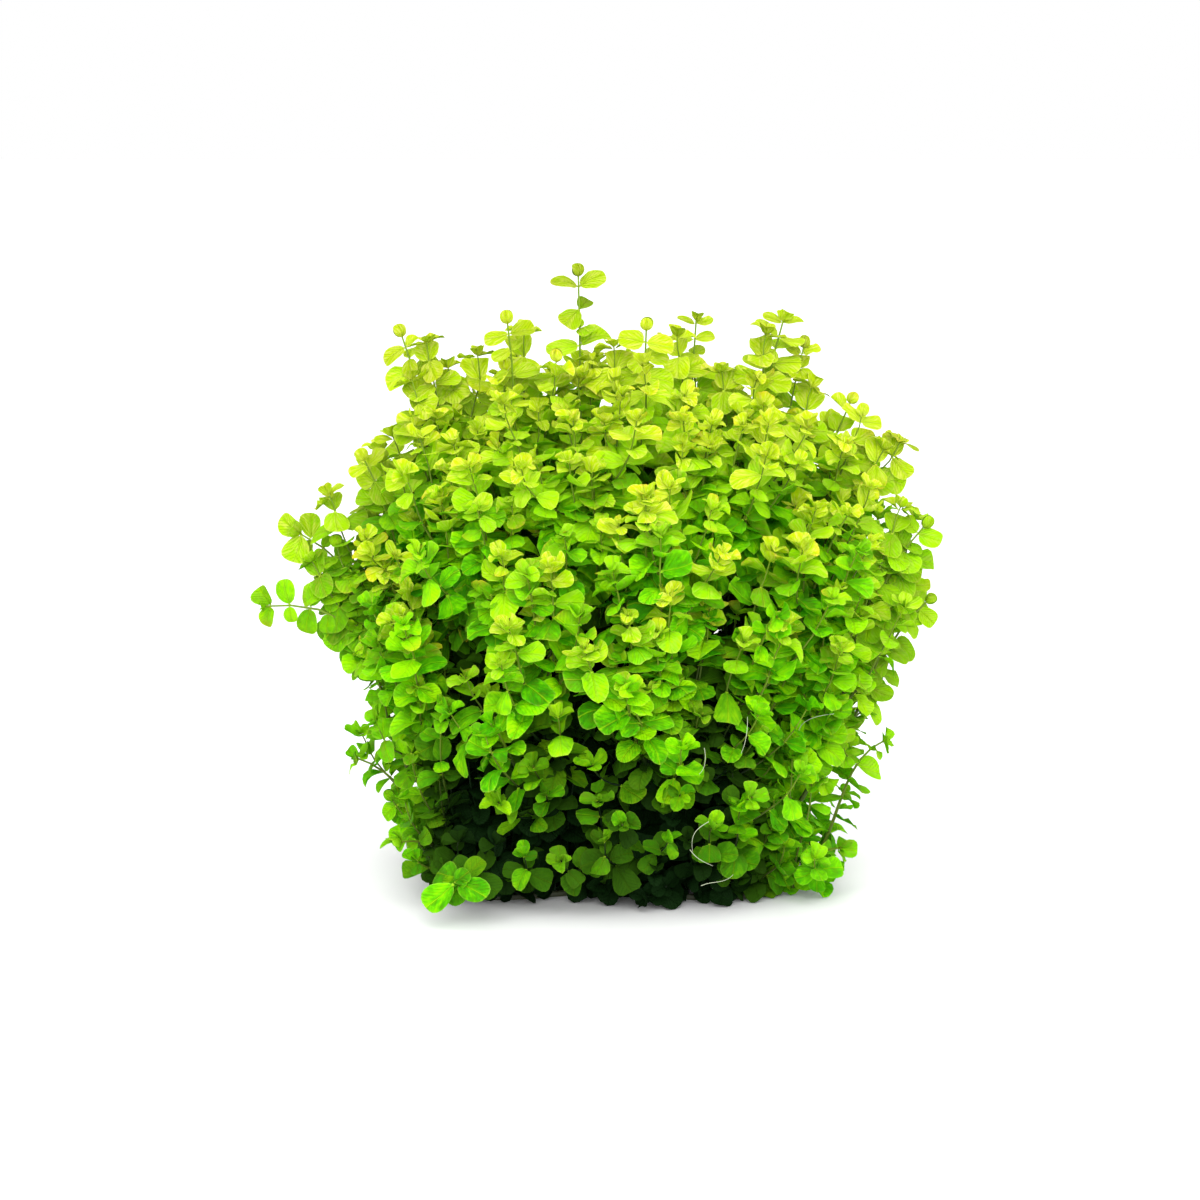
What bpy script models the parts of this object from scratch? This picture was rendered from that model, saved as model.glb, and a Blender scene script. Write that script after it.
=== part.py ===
"""Creeping jenny: a bushy clump of round-leaved shoots, cut off flat at the ground.

Runners creep along the ground and upright stems rise from them. Each stem forks into
leafy shoots, and a few leafy shoots trail straight from the runners. A leafy shoot is
one closed solid that reaches the tips of its leaves and takes in its own twigs.
"""

import bmesh
import bpy
import numpy as np

MM = 0.001
GAP = 0.3 * MM  # clearance between pieces that touch
WELD = 0.01 * MM  # points this close are one
GROUND_BLOCK = 400 * MM  # side of the cube that cuts the runners flat

# Creeping runners: they lie along X in rows, and the ground plane cuts them flat underneath
RUNNER_RADIUS = 1.7 * MM
RUNNER_DEPTH_SHARE = 0.45  # height of the centreline above the ground, in radii
RUNNER_ROWS = (-44 * MM, -22 * MM, 0.0, 22 * MM, 44 * MM)
RUNNER_BED = (92 * MM, 62 * MM)  # half width and half depth of the rooted patch
RUNNER_CENTRE = 15 * MM  # the patch's middle along X
RUNNER_WAVE = 6 * MM
RUNNER_WAVELENGTH = 96 * MM
RUNNER_PHASE = 1.9  # turn of the wave from one row to the next
MIDDLE_ROW = 2
RUNNER_POINTS = 15

# Upright stems
STEM_RADIUS = 1.25 * MM
STEM_TOP_RADIUS = 1.0 * MM
STEM_POINTS = 7
FORK_SHARE = 0.35  # how far towards its shoots' tips a stem goes before it forks
FORK_STEP = 4.5 * MM  # height between the side shoots at a fork
FORK_SLANT = 0.9  # rise of a side shoot where it leaves its stem, for each step outwards
STEM_LEAVE = 0.45  # how far the curve's two handles reach, as shares of its span
STEM_ARRIVE = 0.35

# Leafy shoots
TRAILER_RISE = 1.1  # rise of a trailing shoot where it leaves its runner
TWIG_RADIUS = 1.0 * MM
TIP_RADIUS = 5.5 * MM  # the closed bud of young leaves
PAIR_REACH = 13.5 * MM  # half the span of a pair of grown leaves
TUFT_REACH = 27 * MM  # widest spread of a shoot with its side twigs
TIP_LENGTH = 9 * MM  # from the bud to the first spread pair
PAIR_LENGTH = 28 * MM  # from the tip to where side twigs begin
TUFT_LENGTH = 75 * MM  # from the tip to where the shoot is widest
START_LENGTH = 42 * MM  # from the fork to where the shoot is widest
SHOOT_POINTS = 11
PATH_SAMPLES = 80
HEART_HEIGHT = 60 * MM  # the point that the shoots' tips point away from
UPWARD_PULL = 0.25  # how much more upwards a tip points than straight away from there
SHOOT_BEND = 0.36  # reach of the curve's handles, as a share of its span
SLEEVE_GAP = 0.9 * MM

# Each upright stem: its runner row, how far along it from the patch's middle it rises, and
# the tips of its shoots. Places are in millimetres, X to the right, Y to the back, Z up. A
# fourth number is a shoot's own upward pull and a fifth the reach of its curve's last handle,
# where they aren't the usual ones.
STEMS = (
    (2, -8, ((-10, 4, 282), (-42, -24, 262), (-12, -64, 222))),
    (2, 18, ((21, -24, 259), (45, 22, 261), (42, 66, 230))),
    (2, 42, ((85, 8, 261), (117, 12, 223), (64, -62, 218))),
    (2, -42, ((-92, 8, 254), (-108, -24, 200), (-72, -70, 188))),
    (1, 66, ((150, -14, 168), (155, 14, 129), (112, -60, 180))),
    (1, -66, ((-142, 8, 161, -0.2, 0.45), (-157, -14, 128, -0.5, 0.7), (-94, -70, 132))),
    (0, -22, ((-32, -108, 158), (-48, -108, 92))),
    (0, 18, ((20, -104, 190), (12, -122, 112), (78, -96, 138))),
    (3, -44, ((-62, 50, 232), (-104, 60, 170), (-50, 102, 172), (-98, 76, 104))),
    (4, 4, ((-10, 62, 238), (14, 114, 174), (-28, 121, 108), (42, 119, 106))),
    (3, 48, ((78, 94, 180), (124, 56, 168), (104, 82, 108))),
)

# Each trailing shoot: its runner row, how far along it from the patch's middle, and its tip
TRAILERS = (
    (2, -80, (-116, -8, 58)),
    (2, 80, (134, -16, 68)),
    (1, 74, (112, -44, 22)),
    (1, -70, (-92, -68, 30)),
    (0, 40, (68, -102, 58)),
    (0, -44, (-64, -106, 20)),
    (0, 0, (10, -106, 46)),
    (4, -36, (-62, 92, 48)),
    (4, -2, (10, 102, 46)),
    (4, 36, (76, 90, 50)),
)


def clear_scene():
    for obj in list(bpy.data.objects):
        bpy.data.objects.remove(obj, do_unlink=True)


def new_collection(name, hidden=False):
    collection = bpy.data.collections.new(name)
    collection.hide_render = hidden
    bpy.context.scene.collection.children.link(collection)
    return collection


def plain_material(name, colour, roughness):
    material = bpy.data.materials.new(name)
    material.use_nodes = True
    shader = material.node_tree.nodes["Principled BSDF"]
    shader.inputs["Base Color"].default_value = (*colour, 1.0)
    shader.inputs["Roughness"].default_value = roughness
    shader.inputs["Metallic"].default_value = 0.0
    return material


def unit(vector):
    return vector / np.linalg.norm(vector)


def smooth_step(value):
    value = np.clip(value, 0.0, 1.0)
    return value * value * (3.0 - 2.0 * value)


def bezier(start, leave, arrive, end, count):
    """Points evenly spread in the parameter of a cubic curve with these four control points."""
    t = np.linspace(0.0, 1.0, count)[:, None]
    return (
        (1 - t) ** 3 * start
        + 3 * (1 - t) ** 2 * t * leave
        + 3 * (1 - t) * t**2 * arrive
        + t**3 * end
    )


def lengths_along(path):
    steps = np.linalg.norm(np.diff(path, axis=0), axis=1)
    return np.concatenate([[0.0], np.cumsum(steps)])


def at_lengths(path, wanted):
    """Points of the path at these distances along it."""
    along = lengths_along(path)
    return np.stack([np.interp(wanted, along, path[:, axis]) for axis in range(3)], axis=1)


def tube(name, points, radii, sides_step, material, collection):
    """A closed tube along a chain of points, with its own radius at each point."""
    curve = bpy.data.curves.new(name, "CURVE")
    curve.dimensions = "3D"
    curve.bevel_depth = 1.0
    curve.bevel_resolution = sides_step
    curve.use_fill_caps = True
    curve.render_resolution_u = 0
    spline = curve.splines.new("POLY")
    spline.points.add(len(points) - 1)
    spline.points.foreach_set("co", np.c_[points, np.ones(len(points))].ravel())
    spline.points.foreach_set("radius", np.asarray(radii, float))
    spline.use_smooth = True
    curve.materials.append(material)
    obj = bpy.data.objects.new(name, curve)
    collection.objects.link(obj)
    return obj


def as_mesh(obj, collection):
    """The curve object as a mesh object with its caps welded on."""
    graph = bpy.context.evaluated_depsgraph_get()
    mesh = bpy.data.meshes.new_from_object(obj.evaluated_get(graph))
    mesh.name = obj.name
    made = bpy.data.objects.new(obj.name, mesh)
    made.matrix_world = obj.matrix_world.copy()
    name = obj.name
    bpy.data.objects.remove(obj, do_unlink=True)
    made.name = name
    collection.objects.link(made)
    shape = bmesh.new()
    shape.from_mesh(mesh)
    bmesh.ops.remove_doubles(shape, verts=shape.verts, dist=WELD)
    shape.to_mesh(mesh)
    shape.free()
    return made


def runner_half_length(row):
    half_width, half_depth = RUNNER_BED
    return half_width * np.sqrt(1.0 - (RUNNER_ROWS[row] / half_depth) ** 2)


def on_runner(row, offset):
    """A point of a runner's centreline, at this X from the patch's middle.

    The row wavers from side to side."""
    offset = np.asarray(offset, float)
    phase = RUNNER_PHASE * (row - MIDDLE_ROW)
    wave = RUNNER_WAVE * np.sin(2 * np.pi * offset / RUNNER_WAVELENGTH + phase)
    height = np.full_like(offset, RUNNER_DEPTH_SHARE * RUNNER_RADIUS)
    return np.stack([RUNNER_CENTRE + offset, RUNNER_ROWS[row] + wave, height], axis=-1)


def stem_base(row, offset_mm):
    """Where a stem or trailing shoot starts: on top of its runner, clear of it by the gap."""
    point = on_runner(row, offset_mm * MM)
    point[2] += RUNNER_RADIUS + GAP
    return point


def tip_direction(tip, pull):
    """A shoot points away from the heart of the clump, and a little more upwards."""
    away = unit(tip - np.array([0, 0, HEART_HEIGHT]))
    return unit(away + np.array([0, 0, pull]))


def stem_path(base, fork, aim):
    """From straight up off the runner to the way that leads on to the shoots' tips."""
    reach = np.linalg.norm(fork - base)
    leave = base + np.array([0, 0, STEM_LEAVE * reach])
    arrive = fork - STEM_ARRIVE * reach * unit(aim - fork)
    return bezier(base, leave, arrive, fork, PATH_SAMPLES)


def shoot_path(start, direction, tip, pull=UPWARD_PULL, last_reach=SHOOT_BEND):
    """From this direction at its start to the tip's own direction."""
    span = np.linalg.norm(tip - start)
    leave = start + SHOOT_BEND * span * direction
    arrive = tip - last_reach * span * tip_direction(tip, pull)
    return bezier(start, leave, arrive, tip, PATH_SAMPLES)


def plan_stem(row, offset_mm, shoots_mm):
    """The stem's path and the paths of its shoots.

    The first shoot goes on from the stem's top, and the others leave its side below."""
    base = stem_base(row, offset_mm)
    tips = np.array([shoot[:3] for shoot in shoots_mm], float) * MM
    ways = [shoot[3:] for shoot in shoots_mm]
    aim = tips.mean(axis=0)
    fork = base + FORK_SHARE * (aim - base)
    stem = stem_path(base, fork, aim)
    top_way = unit(stem[-1] - stem[-2])
    shoots = [shoot_path(fork + GAP * top_way, top_way, tips[0], *ways[0])]
    for place, (tip, own) in enumerate(zip(tips[1:], ways[1:]), start=1):
        along = lengths_along(stem)[-1] - place * FORK_STEP
        beside = at_lengths(stem, [along])[0]
        away = tip - beside
        away = unit(away - top_way * (away @ top_way))
        start = beside + away * (STEM_RADIUS + GAP + FORK_SLANT * TWIG_RADIUS)
        shoots.append(shoot_path(start, unit(away + FORK_SLANT * top_way), tip, *own))
    return stem, shoots


def plan_trailer(row, offset_mm, tip_mm):
    """The path of a shoot that arches up off its runner towards its tip."""
    start = stem_base(row, offset_mm) + np.array([0, 0, TWIG_RADIUS])
    tip = np.array(tip_mm, float) * MM
    outward = unit(np.array([tip[0] - start[0], tip[1] - start[1], 0.0]))
    return shoot_path(start, unit(outward + np.array([0, 0, TRAILER_RISE])), tip)


def nearest(points, others):
    """Distance from each point to the nearest of the others."""
    return np.linalg.norm(points[:, None] - others[None], axis=2).min(axis=1)


def leaf_reach(from_tip, from_start):
    """How far leaves and side twigs stand out from the shoot's own line."""
    bud = np.interp(from_tip, [0, TIP_LENGTH], [TIP_RADIUS, PAIR_REACH])
    tuft = smooth_step((from_tip - PAIR_LENGTH) / (TUFT_LENGTH - PAIR_LENGTH))
    base = smooth_step(from_start / START_LENGTH)
    wide = bud + (TUFT_REACH - PAIR_REACH) * tuft
    return TWIG_RADIUS + (wide - TWIG_RADIUS) * base


def sleeve(path, other_shoots, stems):
    """Ring centres and radii of the solid round one shoot, clear of everything beside it."""
    total = lengths_along(path)[-1]
    along = total * np.linspace(0.0, 1.0, SHOOT_POINTS)
    points = at_lengths(path, along)
    radii = leaf_reach(total - along, along)
    radii = np.minimum(radii, (nearest(points, other_shoots) - SLEEVE_GAP) / 2)
    radii = np.minimum(radii, nearest(points, stems) - STEM_RADIUS - SLEEVE_GAP)
    radii = np.minimum(radii, points[:, 2] - SLEEVE_GAP)
    radii = np.maximum(radii, TWIG_RADIUS)
    radii[0] = TWIG_RADIUS
    return points, radii


def build_runners(material, collection, cutter):
    for row in range(len(RUNNER_ROWS)):
        half = runner_half_length(row)
        points = on_runner(row, np.linspace(-half, half, RUNNER_POINTS))
        radii = np.full(RUNNER_POINTS, RUNNER_RADIUS)
        obj = tube(f"runner_{row + 1}", points, radii, 2, material, collection)
        obj = as_mesh(obj, collection)
        cut = obj.modifiers.new("ground", "BOOLEAN")
        cut.operation = "DIFFERENCE"
        cut.solver = "EXACT"
        cut.object = cutter


def ground_cutter(collection):
    bpy.ops.mesh.primitive_cube_add(size=GROUND_BLOCK, location=(0, 0, -GROUND_BLOCK / 2))
    cutter = bpy.context.object
    cutter.name = "ground_cut"
    cutter.hide_render = True
    cutter.display_type = "WIRE"
    for old in list(cutter.users_collection):
        old.objects.unlink(cutter)
    collection.objects.link(cutter)
    return cutter


def main():
    clear_scene()
    plant = new_collection("creeping_jenny")
    cutters = new_collection("cutters", hidden=True)
    leaf_green = plain_material("leaf", (0.33, 0.58, 0.03), 0.45)
    stem_green = plain_material("stem", (0.20, 0.33, 0.05), 0.5)
    runner_brown = plain_material("runner", (0.16, 0.17, 0.05), 0.6)

    build_runners(runner_brown, plant, ground_cutter(cutters))
    planned = [plan_stem(*row) for row in STEMS]
    stems = [stem for stem, _ in planned]
    upright = [path for _, paths in planned for path in paths]
    trailing = [plan_trailer(*row) for row in TRAILERS]
    names = [f"leafy_shoot_{number + 1:02d}" for number in range(len(upright))]
    names += [f"trailing_shoot_{number + 1:02d}" for number in range(len(trailing))]
    shoots = upright + trailing

    for number, path in enumerate(stems, start=1):
        points = at_lengths(path, np.linspace(0, lengths_along(path)[-1], STEM_POINTS))
        radii = np.linspace(STEM_RADIUS, STEM_TOP_RADIUS, STEM_POINTS)
        tube(f"stem_{number:02d}", points, radii, 1, stem_green, plant)
    stem_points = np.concatenate(stems)
    for number, (name, path) in enumerate(zip(names, shoots)):
        others = np.concatenate(shoots[:number] + shoots[number + 1 :])
        points, radii = sleeve(path, others, stem_points)
        tube(name, points, radii, 2, leaf_green, plant)


main()
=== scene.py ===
import math
import bpy
import numpy as np
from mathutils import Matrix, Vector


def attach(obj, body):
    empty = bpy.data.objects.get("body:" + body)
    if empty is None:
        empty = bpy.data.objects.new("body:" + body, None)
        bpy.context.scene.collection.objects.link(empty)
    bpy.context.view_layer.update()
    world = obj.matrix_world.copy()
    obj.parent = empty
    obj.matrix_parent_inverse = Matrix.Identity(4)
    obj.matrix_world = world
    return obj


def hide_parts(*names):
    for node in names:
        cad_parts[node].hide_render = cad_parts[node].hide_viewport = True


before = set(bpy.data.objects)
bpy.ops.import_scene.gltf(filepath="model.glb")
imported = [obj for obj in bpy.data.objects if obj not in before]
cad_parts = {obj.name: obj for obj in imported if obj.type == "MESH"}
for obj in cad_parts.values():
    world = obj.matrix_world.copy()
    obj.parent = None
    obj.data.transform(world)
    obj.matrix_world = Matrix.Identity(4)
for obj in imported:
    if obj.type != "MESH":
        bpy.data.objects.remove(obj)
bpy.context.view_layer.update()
mm = 0.001
up = np.array([0.0, 0.0, 1.0])
rng = np.random.default_rng(417)

# Nodes


class Wire:
    # A socket in a node tree. Sums and products of wires and numbers add Math nodes.
    def __init__(self, tree, socket=None):
        self.tree = tree
        self.socket = socket

    def add(self, kind, settings=(), inputs=(), output=0):
        # A new node of this kind, with its settings made first; the wire is one of its outputs
        made = self.tree.nodes.new(kind)
        for key, value in dict(settings).items():
            if key == "stops":
                ramp = made.color_ramp
                while len(ramp.elements) < len(value):
                    ramp.elements.new(0.5)
                for element, (place, colour) in zip(ramp.elements, value):
                    element.position = place
                    element.color = (*colour, 1.0)
            else:
                setattr(made, key, value)
        for key, value in dict(inputs).items():
            if isinstance(value, Wire):
                self.tree.links.new(value.socket, made.inputs[key])
            else:
                made.inputs[key].default_value = value
        return Wire(self.tree, made.outputs[output])

    def maths(self, operation, *values):
        return self.add("ShaderNodeMath", {"operation": operation}, enumerate(values))

    def __add__(self, other):
        return self.maths("ADD", self, other)

    def __sub__(self, other):
        return self.maths("SUBTRACT", self, other)

    def __rsub__(self, other):
        return self.maths("SUBTRACT", other, self)

    def __mul__(self, other):
        return self.maths("MULTIPLY", self, other)

    __radd__ = __add__
    __rmul__ = __mul__

    def shaped(self, function):
        # A Math node's function of this wire alone
        return self.maths(function, self)

    def noise(self, scale, detail):
        # Noise read at this wire's vector
        return self.add("ShaderNodeTexNoise", (), {"Vector": self, "Scale": scale, "Detail": detail})

    def feed(self, node, name):
        # Leads this wire into a node that is already there
        self.tree.links.new(self.socket, node.inputs[name])

    def clipped(self):
        return self.add("ShaderNodeClamp", (), {"Value": self})

    def between(self, low, high):
        # 0 below low and 1 above high, smooth between
        inputs = {"Value": self, "From Min": low, "From Max": high}
        return self.add("ShaderNodeMapRange", {"interpolation_type": "SMOOTHSTEP"}, inputs)


def mixed(share, first, second):
    # Colour mix by share. A plain colour is a tuple of three.
    whole = lambda colour: colour if isinstance(colour, Wire) else (*colour, 1.0)
    inputs = {0: share, 6: whole(first), 7: whole(second)}
    return share.add("ShaderNodeMix", {"data_type": "RGBA"}, inputs, 2)


def newMaterial(name, values):
    # A material whose Principled shader has these values
    material = bpy.data.materials.new(name)
    material.use_nodes = True
    shader = material.node_tree.nodes["Principled BSDF"]
    for key, value in values.items():
        shader.inputs[key].default_value = value
    return material, Wire(material.node_tree), shader


# Studio

studio = {
    "distance": 1.5,        # from the camera to the point it looks at
    "elevation": 8.0,       # degrees above the horizon
    "aimHeight": 0.1293,    # that point's height
    "lens": 97.8,           # mm
    "sensor": 36.0,
    "skySeen": 1.0,         # the backdrop's brightness
    "skyLight": 1.72,       # the light it gives
    "keyFrom": (-0.12, -1.0, 0.80),
    "keySpread": 50.0,      # degrees across, which softens its shadows
    "keyPower": 2.2,
    "fillPlace": (0.2, -1.4, 0.45),
    "fillSize": 1.0,
    "fillPower": 11.0,
    "floorHalf": 60.0,
    "floorTone": 0.70,
    "floorRoughness": 0.9,
}


def added(name, data):
    # A new object in the scene
    thing = bpy.data.objects.new(name, data)
    bpy.context.scene.collection.objects.link(thing)
    return thing


def aimed(thing, place):
    # Puts a light or camera at place, with its own -Z towards the middle of the clump
    forward = np.array((0.0, 0.0, studio["aimHeight"])) - np.array(place, float)
    thing.location = place
    thing.rotation_euler = Vector(forward).to_track_quat("-Z", "Y").to_euler()


def makeCamera():
    lift = math.radians(studio["elevation"])
    away = -studio["distance"] * math.cos(lift)
    height = studio["aimHeight"] + studio["distance"] * math.sin(lift)
    data = bpy.data.cameras.new("camera")
    data.lens = studio["lens"]
    data.sensor_width = studio["sensor"]
    camera = added("camera", data)
    aimed(camera, (0.0, away, height))
    bpy.context.scene.camera = camera


def makeLight(name, kind, place, size, power):
    data = bpy.data.lights.new(name, kind)
    data.energy = power
    if kind == "SUN":
        data.angle = math.radians(size)
    else:
        data.shape = "DISK"
        data.size = size
    aimed(added(name, data), place)


def makeSky():
    # White, and the backdrop that is seen has a brightness of its own
    white = (1.0, 1.0, 1.0, 1.0)
    world = bpy.data.worlds.new("sky")
    bpy.context.scene.world = world
    world.use_nodes = True
    nodes = world.node_tree.nodes
    nodes["Background"].inputs["Color"].default_value = white
    nodes["Background"].inputs["Strength"].default_value = studio["skyLight"]
    light = Wire(world.node_tree, nodes["Background"].outputs[0])
    seen = light.add("ShaderNodeBackground", (), {"Color": white, "Strength": studio["skySeen"]})
    ray = light.add("ShaderNodeLightPath", (), (), "Is Camera Ray")
    both = light.add("ShaderNodeMixShader", (), {0: ray, 1: light, 2: seen})
    both.feed(nodes["World Output"], "Surface")


def makeFloor():
    half = studio["floorHalf"]
    corners = [(-half, -half, 0), (half, -half, 0), (half, half, 0), (-half, half, 0)]
    mesh = bpy.data.meshes.new("floor")
    mesh.from_pydata(corners, [], [(0, 1, 2, 3)])
    paint = {"Base Color": (*[studio["floorTone"]] * 3, 1.0), "Roughness": studio["floorRoughness"]}
    mesh.materials.append(newMaterial("floorPaint", paint)[0])
    floor = added("floor", mesh)


makeCamera()
makeLight("keyLight", "SUN", studio["keyFrom"], studio["keySpread"], studio["keyPower"])
makeLight("fillLight", "AREA", studio["fillPlace"], studio["fillSize"], studio["fillPower"])
makeSky()
makeFloor()
bpy.context.scene.view_settings.view_transform = "Standard"
print("camera, lights and floor are in place")

# Vectors and curves


def unit(vectors):
    # Each vector divided by its own length
    vectors = np.asarray(vectors, float)
    return vectors / np.maximum(np.linalg.norm(vectors, axis=-1, keepdims=True), 1e-12)


def smoothStep(value, low=0.0, high=1.0):
    # 3t squared minus 2t cubed, with t running from 0 at low to 1 at high
    t = np.clip((np.asarray(value, float) - low) / (high - low), 0.0, 1.0)
    return t * t * (3.0 - 2.0 * t)


def bezier(start, leave, arrive, end, count):
    # Points of the cubic curve with these four control points, evenly spread in its parameter
    t = np.linspace(0.0, 1.0, count)[:, None]
    return (
        (1 - t) ** 3 * start
        + 3 * (1 - t) ** 2 * t * leave
        + 3 * (1 - t) * t**2 * arrive
        + t**3 * end
    )


def lengthsAlong(path):
    # Running sum of the steps between neighbouring points
    steps = np.linalg.norm(np.diff(path, axis=0), axis=1)
    return np.concatenate([[0.0], np.cumsum(steps)])


def atLengths(path, wanted):
    # The path read at these distances from its start
    along = lengthsAlong(path)
    return np.stack([np.interp(wanted, along, path[:, axis]) for axis in range(3)], axis=1)


def tangentsAt(path, wanted):
    # Direction from a little before each place to a little after it
    reach = 0.6 * mm
    return unit(atLengths(path, wanted + reach) - atLengths(path, wanted - reach))


# The clump's stems and shoots, with the same numbers and formulas as its solids

clump = {
    "runnerRadius": 1.7 * mm,
    "runnerSunk": 0.45,
    "runnerRows": (-44 * mm, -22 * mm, 0.0, 22 * mm, 44 * mm),
    "runnerCentre": 15 * mm,
    "runnerWave": 6 * mm,
    "runnerWavelength": 96 * mm,
    "runnerPhase": 1.9,
    "middleRow": 2,
    "gap": 0.3 * mm,
    "stemRadius": 1.25 * mm,
    "stemTopRadius": 1.0 * mm,
    "forkShare": 0.35,
    "forkStep": 4.5 * mm,
    "forkSlant": 0.9,
    "trailerRise": 1.1,
    "heartHeight": 60 * mm,
    "upwardPull": 0.25,
    "stemLeave": 0.45,
    "stemArrive": 0.35,
    "shootBend": 0.36,
    "samples": 80,
    # runner row, place along it, and tips of the shoots in millimetres; a fourth number is a
    # shoot's own upward pull and a fifth the reach of its curve's last handle
    "stems": (
        (2, -8, ((-10, 4, 282), (-42, -24, 262), (-12, -64, 222))),
        (2, 18, ((21, -24, 259), (45, 22, 261), (42, 66, 230))),
        (2, 42, ((85, 8, 261), (117, 12, 223), (64, -62, 218))),
        (2, -42, ((-92, 8, 254), (-108, -24, 200), (-72, -70, 188))),
        (1, 66, ((150, -14, 168), (155, 14, 129), (112, -60, 180))),
        (1, -66, ((-142, 8, 161, -0.2, 0.45), (-157, -14, 128, -0.5, 0.7), (-94, -70, 132))),
        (0, -22, ((-32, -108, 158), (-48, -108, 92))),
        (0, 18, ((20, -104, 190), (12, -122, 112), (78, -96, 138))),
        (3, -44, ((-62, 50, 232), (-104, 60, 170), (-50, 102, 172), (-98, 76, 104))),
        (4, 4, ((-10, 62, 238), (14, 114, 174), (-28, 121, 108), (42, 119, 106))),
        (3, 48, ((78, 94, 180), (124, 56, 168), (104, 82, 108))),
    ),
    "trailers": (
        (2, -80, (-116, -8, 58)),
        (2, 80, (134, -16, 68)),
        (1, 74, (112, -44, 22)),
        (1, -70, (-92, -68, 30)),
        (0, 40, (68, -102, 58)),
        (0, -44, (-64, -106, 20)),
        (0, 0, (10, -106, 46)),
        (4, -36, (-62, 92, 48)),
        (4, -2, (10, 102, 46)),
        (4, 36, (76, 90, 50)),
    ),
}


def onRunner(row, offset):
    # The runner's line at an offset along X from the patch's middle: its row, plus a sine
    offset = np.asarray(offset, float)
    phase = clump["runnerPhase"] * (row - clump["middleRow"])
    turn = 2 * np.pi * offset / clump["runnerWavelength"] + phase
    height = np.full_like(offset, clump["runnerSunk"] * clump["runnerRadius"])
    across = clump["runnerRows"][row] + clump["runnerWave"] * np.sin(turn)
    return np.stack([clump["runnerCentre"] + offset, across, height], axis=-1)


def stemBase(row, offset):
    point = onRunner(row, offset * mm)
    point[2] += clump["runnerRadius"] + clump["gap"]
    return point


def tipDirection(tips, pull=clump["upwardPull"]):
    # Away from the heart of the clump, and a little more upwards
    away = unit(tips - np.array([0.0, 0.0, clump["heartHeight"]]))
    return unit(away + pull * up)


def shootPath(start, direction, tip, pull=clump["upwardPull"], lastReach=clump["shootBend"]):
    # A cubic curve that leaves along direction and arrives along the tip's own direction
    span = np.linalg.norm(tip - start)
    leave = start + clump["shootBend"] * span * direction
    arrive = tip - lastReach * span * tipDirection(tip, pull)
    return bezier(start, leave, arrive, tip, clump["samples"])


def planStem(row, offset, shoots):
    # The stem and its shoots: the first shoot carries the stem on, the others leave its side
    base = stemBase(row, offset)
    tips = np.array([shoot[:3] for shoot in shoots], float) * mm
    ways = [shoot[3:] for shoot in shoots]
    aim = tips.mean(axis=0)
    fork = base + clump["forkShare"] * (aim - base)
    reach = np.linalg.norm(fork - base)
    leave = base + clump["stemLeave"] * reach * up
    arrive = fork - clump["stemArrive"] * reach * unit(aim - fork)
    stem = bezier(base, leave, arrive, fork, clump["samples"])
    topWay = unit(stem[-1] - stem[-2])
    paths = [shootPath(fork + clump["gap"] * topWay, topWay, tips[0], *ways[0])]
    for place, (tip, own) in enumerate(zip(tips[1:], ways[1:]), start=1):
        beside = atLengths(stem, [lengthsAlong(stem)[-1] - place * clump["forkStep"]])[0]
        away = tip - beside
        away = unit(away - topWay * (away @ topWay))
        paths.append(shootPath(beside, unit(away + clump["forkSlant"] * topWay), tip, *own))
    return stem, paths


def planTrailer(row, offset, tip):
    # A shoot that arches up off its runner towards its tip
    start = stemBase(row, offset)
    tip = np.array(tip, float) * mm
    outward = unit((tip - start) * np.array([1.0, 1.0, 0.0]))
    return shootPath(start, unit(outward + clump["trailerRise"] * up), tip)


planned = [planStem(*row) for row in clump["stems"]]
stems = [stem for stem, _ in planned]
leafyShoots = [path for _, paths in planned for path in paths]
trailingShoots = [planTrailer(*row) for row in clump["trailers"]]
shoots = leafyShoots + trailingShoots
shootNames = [f"leafy_shoot_{n + 1:02d}" for n in range(len(leafyShoots))]
shootNames += [f"trailing_shoot_{n + 1:02d}" for n in range(len(trailingShoots))]
print(f"planned {len(stems)} stems and {len(shoots)} shoots")

# Side twigs, from the places where their tips come

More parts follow.
